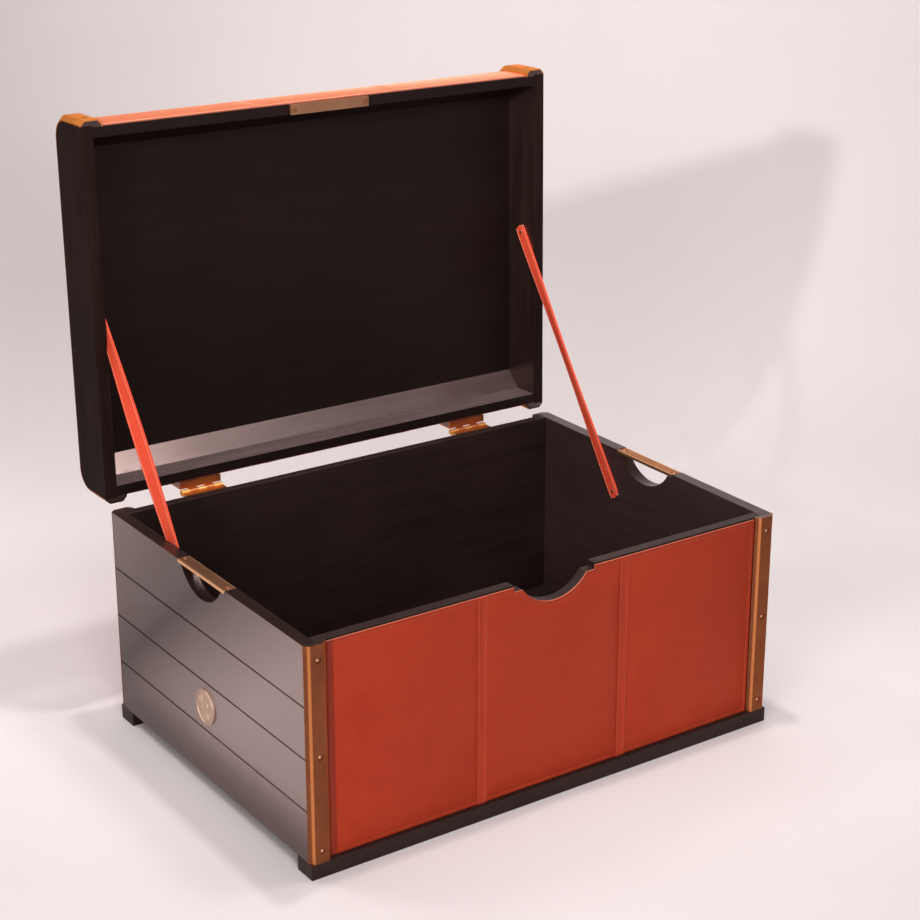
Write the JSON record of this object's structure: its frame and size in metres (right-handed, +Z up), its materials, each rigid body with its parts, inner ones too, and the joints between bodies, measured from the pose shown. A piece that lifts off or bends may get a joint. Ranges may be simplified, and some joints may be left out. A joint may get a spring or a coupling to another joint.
{
  "type": "blanket chest",
  "caption": "Lidded storage trunk with boarded ends, leather-covered front and lid, brass corner strips, inset hand grips and leather lid stays.",
  "frame": {"origin": "middle of the front runner's underside, on the floor", "axes": "+Z up, -Y out of the front, -X towards the left end with the medallion; modelled with the lid open"},
  "size_m": [0.853, 0.723, 0.9699],
  "materials": {
    "dark_wood": "near-black brown satin lacquer",
    "cover_leather": "smooth red-brown hide, light waxed sheen",
    "seam_leather": "stitched red-brown band",
    "stay_leather": "stitched orange-tan strap",
    "brass": "brushed warm brass"
  },
  "bodies": {
    "box": {"back_board": "dark_wood", "back_leather": "cover_leather", "back_left_corner_strip": "brass", "back_left_stile": "dark_wood", "back_right_corner_strip": "brass", "back_right_stile": "dark_wood", "back_runner": "dark_wood", "bottom_panel": "dark_wood", "corner_strip_screws": "brass", "front_board": "dark_wood", "front_leather_centre": "cover_leather", "front_leather_left": "cover_leather", "front_leather_right": "cover_leather", "front_left_corner_strip": "brass", "front_left_stile": "dark_wood", "front_right_corner_strip": "brass", "front_right_stile": "dark_wood", "front_runner": "dark_wood", "front_seam_strips": "seam_leather", "handle_bar_screws": "brass", "hinge_box_pads": "dark_wood", "hinge_box_screws": "brass", "hinge_pins": "brass", "left_end_board_1": "dark_wood", "left_end_board_2": "dark_wood", "left_end_board_3": "dark_wood", "left_end_board_4": "dark_wood", "left_handle_bar": "brass", "left_hinge_box_leaf": "brass", "left_leather_stay": "stay_leather", "left_medallion": "brass", "right_end_board_1": "dark_wood", "right_end_board_2": "dark_wood", "right_end_board_3": "dark_wood", "right_end_board_4": "dark_wood", "right_handle_bar": "brass", "right_hinge_box_leaf": "brass", "right_leather_stay": "stay_leather", "stay_box_screws": "brass"},
    "lid": {"hinge_lid_pads": "dark_wood", "hinge_lid_screws": "brass", "left_hinge_lid_leaf": "brass", "lid_back_corner_batten": "dark_wood", "lid_back_rail": "dark_wood", "lid_front_corner_batten": "dark_wood", "lid_front_rail": "dark_wood", "lid_leather": "cover_leather", "lid_left_end": "dark_wood", "lid_left_stile": "dark_wood", "lid_left_strap": "brass", "lid_pull_bar": "brass", "lid_pull_screws": "brass", "lid_right_end": "dark_wood", "lid_right_stile": "dark_wood", "lid_right_strap": "brass", "lid_seam_strips": "seam_leather", "lid_strap_screws": "brass", "lid_top_panel": "dark_wood", "right_hinge_lid_leaf": "brass", "stay_lid_screws": "brass"}
  },
  "joints": [
    {"name": "lid_hinge", "type": "hinge", "parent": "box", "child": "lid", "pos_m": [0, 0.592, 0.358], "axis": [1, 0, 0], "range_deg": [0, 91], "deforming": ["left_leather_stay", "right_leather_stay"]}
  ]
}
